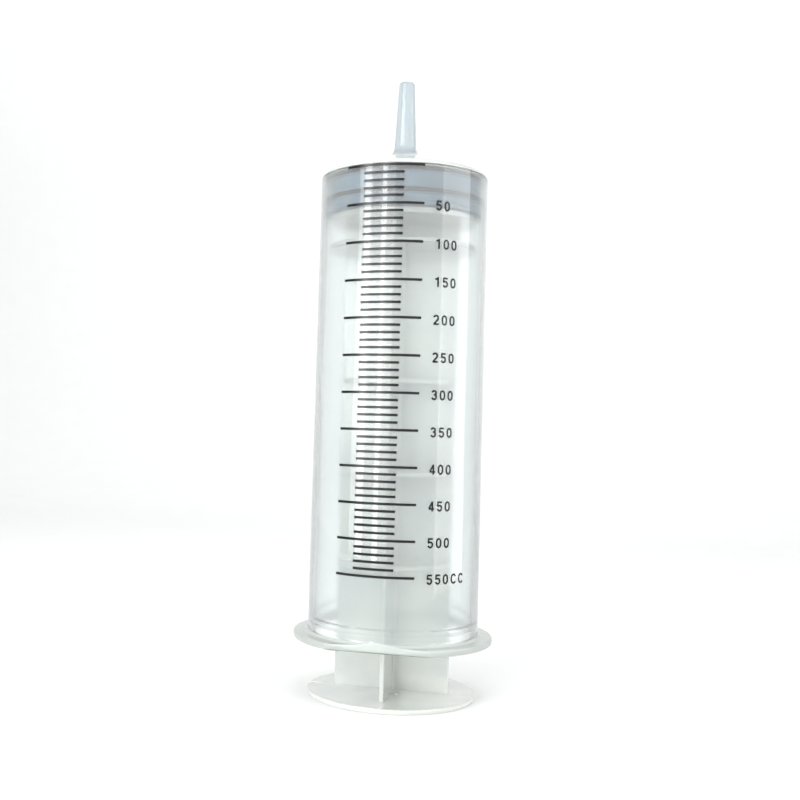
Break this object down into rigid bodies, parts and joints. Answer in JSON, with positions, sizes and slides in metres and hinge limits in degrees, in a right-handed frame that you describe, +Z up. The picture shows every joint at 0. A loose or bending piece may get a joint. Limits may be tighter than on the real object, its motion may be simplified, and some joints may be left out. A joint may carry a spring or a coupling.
{
  "type": "syringe",
  "caption": "Large catheter-tip syringe that stands on its thumb disc: a clear graduated barrel with a finger flange and tapered nozzle, a rubber piston seal and a ribbed plunger rod.",
  "frame": {"origin": "middle of the underside of the thumb disc, which the syringe stands on", "axes": "+Z up along the bore to the nozzle; the two flats of the finger flange face -Y and +Y, with the printed scale on the -Y side; the ribs of the plunger rod lie along X and Y"},
  "size_m": [0.0824, 0.0708, 0.2565],
  "materials": {
    "clear_polypropylene": "clarified polypropylene, injection moulded, glossy and slightly cloudy, with a black printed scale",
    "seal_rubber": "bluish grey moulded rubber, lightly siliconed, satin",
    "natural_polypropylene": "natural polypropylene, injection moulded, milky and glossy"
  },
  "bodies": {
    "barrel_body": {"barrel": "clear_polypropylene"},
    "seal_body": {"piston_seal": "seal_rubber"},
    "rod_body": {"plunger_rod": "natural_polypropylene"}
  },
  "joints": [
    {"name": "plunger_slide", "type": "slide", "parent": "barrel_body", "child": "seal_body", "axis": [0, 0, -1], "range_m": [0, 0.166]},
    {"name": "rod_turn", "type": "hinge", "parent": "seal_body", "child": "rod_body", "pos_m": [0, 0, 0.199], "axis": [0, 0, 1], "continuous": true}
  ]
}
